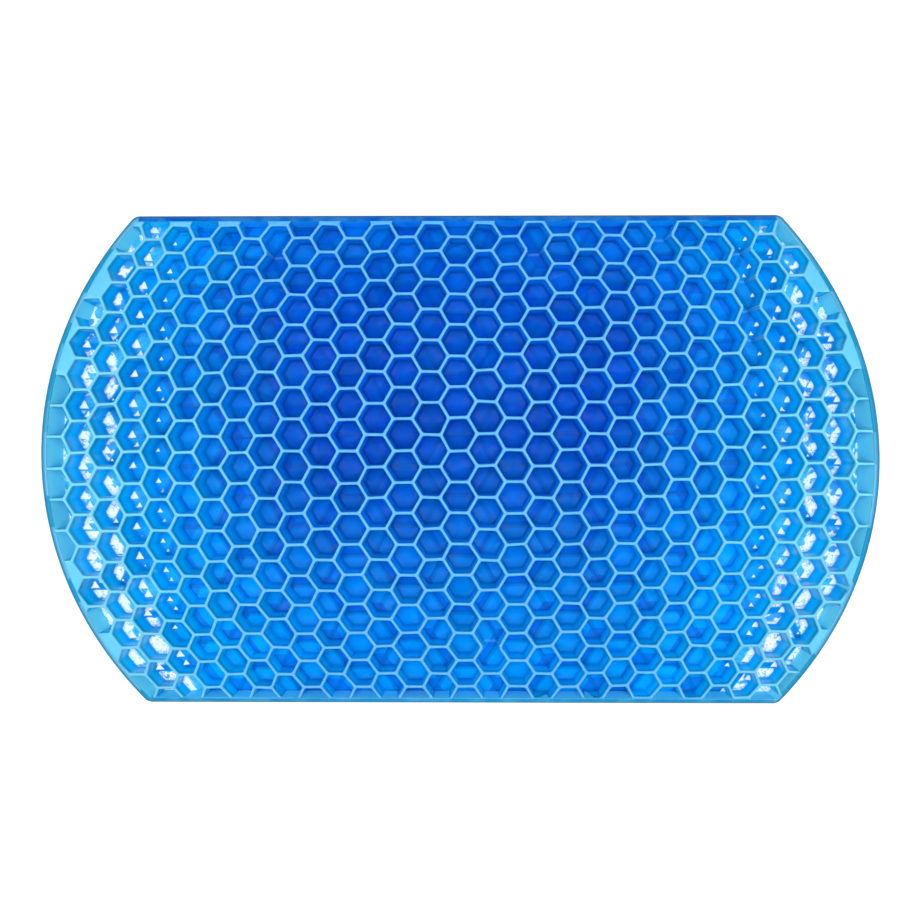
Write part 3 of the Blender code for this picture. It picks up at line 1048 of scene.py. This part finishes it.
def rim_stations():
    """Places around the outline, anticlockwise: point, outward angle, share of an end arc."""
    turn = HALF_DEPTH - CORNER_ROUND
    reach = ARC_RADIUS - CORNER_ROUND
    corner = math.asin(turn / reach)
    corner_x = ARC_CENTRE + reach * math.cos(corner)
    quarter = []
    for step in range(END_STEPS):
        angle = corner * step / END_STEPS
        x = ARC_CENTRE + ARC_RADIUS * math.cos(angle)
        quarter.append((x, ARC_RADIUS * math.sin(angle), angle, 1.0))
    for step in range(CORNER_STEPS + 1):
        share = step / CORNER_STEPS
        angle = corner + (math.pi / 2 - corner) * share
        x = corner_x + CORNER_ROUND * math.cos(angle)
        quarter.append((x, turn + CORNER_ROUND * math.sin(angle), angle, 1 - share))
    for step in range(1, STRAIGHT_STEPS + 1):
        x = corner_x * (1 - step / STRAIGHT_STEPS)
        quarter.append((x, HALF_DEPTH, math.pi / 2, 0.0))
    back_left = [(-x, y, math.pi - angle, end) for x, y, angle, end in reversed(quarter[:-1])]
    front_left = [(-x, -y, math.pi + angle, end) for x, y, angle, end in quarter[1:]]
    front_right = [(x, -y, -angle, end) for x, y, angle, end in reversed(quarter[1:-1])]
    return quarter + back_left + front_left + front_right


def wall_profile(end, lip):
    """Section of the edge wall: inset, share of the way up, height over that, pale (painted light),
    dark (painted shade).
    """
    width = (STRAIGHT_RIM * (1 - end) + ARC_RIM * end) - RIM_GAP
    wide = (SHOULDER_WIDE[0] * (1 - end) + SHOULDER_WIDE[1] * end) * MM
    tall = (SHOULDER_TALL[0] * (1 - end) + SHOULDER_TALL[1] * end) * MM
    fade = (DARK_FADE + DARK_FADE_END * end) * MM
    points = [(*point, 0.0) for point in OUTER_FACE]
    points.append((0.0, 1.0, -tall - DARK_UNDER, 0.0, 0.0))
    for step in range(SHOULDER_STEPS + 1):
        angle = math.pi / 2 * step / SHOULDER_STEPS
        inset = wide * (1 - math.cos(angle))
        dark = min(1.0, max(0.0, DARK_START - inset / fade))
        pale = end * (1 - dark)
        points.append((inset, 1.0, -tall * (1 - math.sin(angle)), pale, dark))
    points += [(width - short, 1.0, height, share * lip, 0.0) for short, height, share in LIP]
    points.append((width, 0.0, 0.0, 0.0, 0.0))
    return points


def edge_gel_wall(material):
    """One wall all around, with a rounded shoulder and rounded corners."""
    shape = bmesh.new()
    names = ("pale", "end", "dark", "inner", "side")
    layers = [shape.verts.layers.float.new(name) for name in names]
    loops = []
    for x, y, angle, end in rim_stations():
        outward = Vector((math.cos(angle), math.sin(angle)))
        lip = max(end, FRONT_LIP if y < 0 else 0.0)
        loop = []
        profile = wall_profile(end, lip)
        for number, (inset, share, height, pale, dark) in enumerate(profile):
            place = Vector((x, y)) - outward * inset
            vert = shape.verts.new((*place, share * top_height(place.y) + height))
            inner = 1.0 if inset == profile[-1][0] else 0.0
            side = 1.0 if number < SIDE_POINTS else 0.0
            for layer, value in zip(layers, (pale, end, dark, inner, side)):
                vert[layer] = value
            loop.append(vert)
        loops.append(loop)
    for here, after in zip(loops, loops[1:] + loops[:1]):
        for number in range(len(here)):
            up = (number + 1) % len(here)
            shape.faces.new((here[number], after[number], after[up], here[up]))
    piece = bpy.data.objects.new("edge_gel_wall", bpy.data.meshes.new("edge_gel_wall"))
    bpy.context.scene.collection.objects.link(piece)
    finish_shape(piece, shape)
    piece.data.materials.append(material)
    return piece


# ---------------------------------------------------------------- studio

CAMERA_PLACE = (0.0028, 0.0148)
CAMERA_OVER_CREST = 0.341
CAMERA_TILT = (-0.0347, 0.0065, 0.0)
CAMERA_LENS = 26.6
CAMERA_SENSOR = 36.0
SOFTBOX_PLACE = (0.62, 0.0, 0.68)
SOFTBOX_SIZE = (0.45, 0.75)
SOFTBOX_RADIANCE = 2.0
OVERHEAD_PLACE = (0.0, 0.0, 1.0)
OVERHEAD_SIZE = (0.7, 0.9)
OVERHEAD_RADIANCE = 8.0
ROOM_LIGHT = 0.15
ROOM_SEEN = 0.95
FLOOR_RADIUS = 14.0
FLOOR_DROP = 0.0002
FLOOR_GREY = (0.30, 0.30, 0.30, 1.0)
FLOOR_GLOW = 0.68
WHITE = (1.0, 1.0, 1.0, 1.0)


def floor_sheet():
    """A wide pale floor under the cushion."""
    shape = bmesh.new()
    bmesh.ops.create_circle(shape, cap_ends=True, segments=96, radius=FLOOR_RADIUS)
    mesh = bpy.data.meshes.new("floor")
    shape.to_mesh(mesh)
    shape.free()
    floor = bpy.data.objects.new("floor", mesh)
    floor.location.z = -FLOOR_DROP
    bpy.context.scene.collection.objects.link(floor)
    material = bpy.data.materials.new("pale_floor")
    material.use_nodes = True
    shader = material.node_tree.nodes["Principled BSDF"]
    shader.inputs["Base Color"].default_value = FLOOR_GREY
    shader.inputs["Roughness"].default_value = 0.9
    shader.inputs["Specular IOR Level"].default_value = 0.0
    shader.inputs["Emission Color"].default_value = WHITE
    shader.inputs["Emission Strength"].default_value = FLOOR_GLOW
    mesh.materials.append(material)


def softbox(name, place, size, radiance):
    """A rectangular light that faces the cushion."""
    width, length = size
    light = bpy.data.lights.new(name, "AREA")
    light.shape = "RECTANGLE"
    light.size = width
    light.size_y = length
    light.energy = radiance * math.pi * width * length
    lamp = bpy.data.objects.new(name, light)
    lamp.location = place
    lamp.rotation_euler = (-Vector(place)).to_track_quat("-Z", "Y").to_euler()
    bpy.context.scene.collection.objects.link(lamp)
    return lamp


def studio():
    """Camera over the cushion, two side softboxes, one overhead, and a dim room."""
    camera = bpy.data.cameras.new("camera")
    camera.lens = CAMERA_LENS
    camera.sensor_width = CAMERA_SENSOR
    camera.clip_start = 0.01
    seen = bpy.data.objects.new("camera", camera)
    x, y = CAMERA_PLACE
    seen.location = (x, y + LATTICE_SHIFT, CROWN_HEIGHT + CAMERA_OVER_CREST)
    seen.rotation_euler = CAMERA_TILT
    bpy.context.scene.collection.objects.link(seen)
    bpy.context.scene.camera = seen
    out, across, up = SOFTBOX_PLACE
    softbox("right_softbox", (out, across, up), SOFTBOX_SIZE, SOFTBOX_RADIANCE)
    softbox("left_softbox", (-out, across, up), SOFTBOX_SIZE, SOFTBOX_RADIANCE)
    overhead = softbox("overhead_softbox", OVERHEAD_PLACE, OVERHEAD_SIZE, OVERHEAD_RADIANCE)
    overhead.visible_glossy = False
    world = bpy.data.worlds.new("room")
    world.use_nodes = True
    tree = world.node_tree
    background = tree.nodes["Background"]
    background.inputs["Color"].default_value = WHITE
    direct = tree.nodes.new("ShaderNodeLightPath").outputs["Is Camera Ray"]
    feed(tree, ramp(tree, direct, 0.0, 1.0, ROOM_LIGHT, ROOM_SEEN), background.inputs["Strength"])
    bpy.context.scene.world = world
    bpy.context.scene.view_settings.view_transform = "Standard"


# ---------------------------------------------------------------- the cushion

def main():
    groups = {
        "pattern": honeycomb_pattern(), "light": painted_gel_light(), "surface": gel_surface(),
    }
    tree = honeycomb_tree()
    upper = upper_gel_cells(tree, upper_gel(groups))
    lower = lower_gel_cells(tree, lower_gel(groups))
    wall = edge_gel_wall(edge_gel(groups))
    for piece in (upper, lower, wall):
        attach(piece, "root")
    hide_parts("upper_honeycomb")
    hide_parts("lower_honeycomb")
    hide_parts("back_edge_wall", "front_edge_wall", "left_end_wall", "right_end_wall")
    floor_sheet()
    studio()


main()
